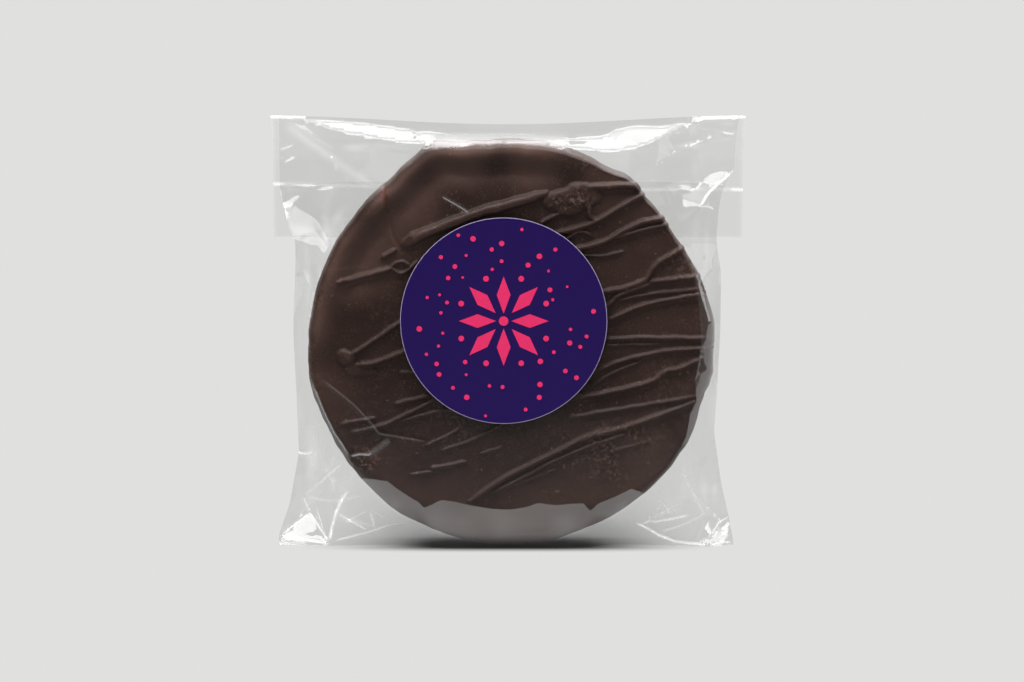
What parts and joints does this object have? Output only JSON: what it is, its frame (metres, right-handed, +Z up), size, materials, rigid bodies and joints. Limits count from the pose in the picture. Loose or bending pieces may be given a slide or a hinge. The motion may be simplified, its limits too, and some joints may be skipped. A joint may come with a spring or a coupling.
{
  "type": "chocolate coated alfajor cookie in a clear bag",
  "caption": "Round filled cookie coated in dark chocolate with drizzle, standing on its rim in a clear film bag with a folded flap and a round label.",
  "frame": {"origin": "middle of the bag's width and depth, on the surface it stands on", "axes": "+Z up, +X along the flap to the right as seen from the front, -Y out of the face with the label"},
  "size_m": [0.09, 0.0186, 0.0818],
  "materials": {
    "chocolate": "dark chocolate coating, satin, with drizzled strands and pools in relief",
    "clear_film": "clear glossy packing film, taut over the cookie and creased at the corners",
    "label_paper": "coated paper label, satin, deep violet with small pink marks"
  },
  "bodies": {
    "root": {"bagged_alfajor": "chocolate", "label": "label_paper"}
  },
  "joints": []
}
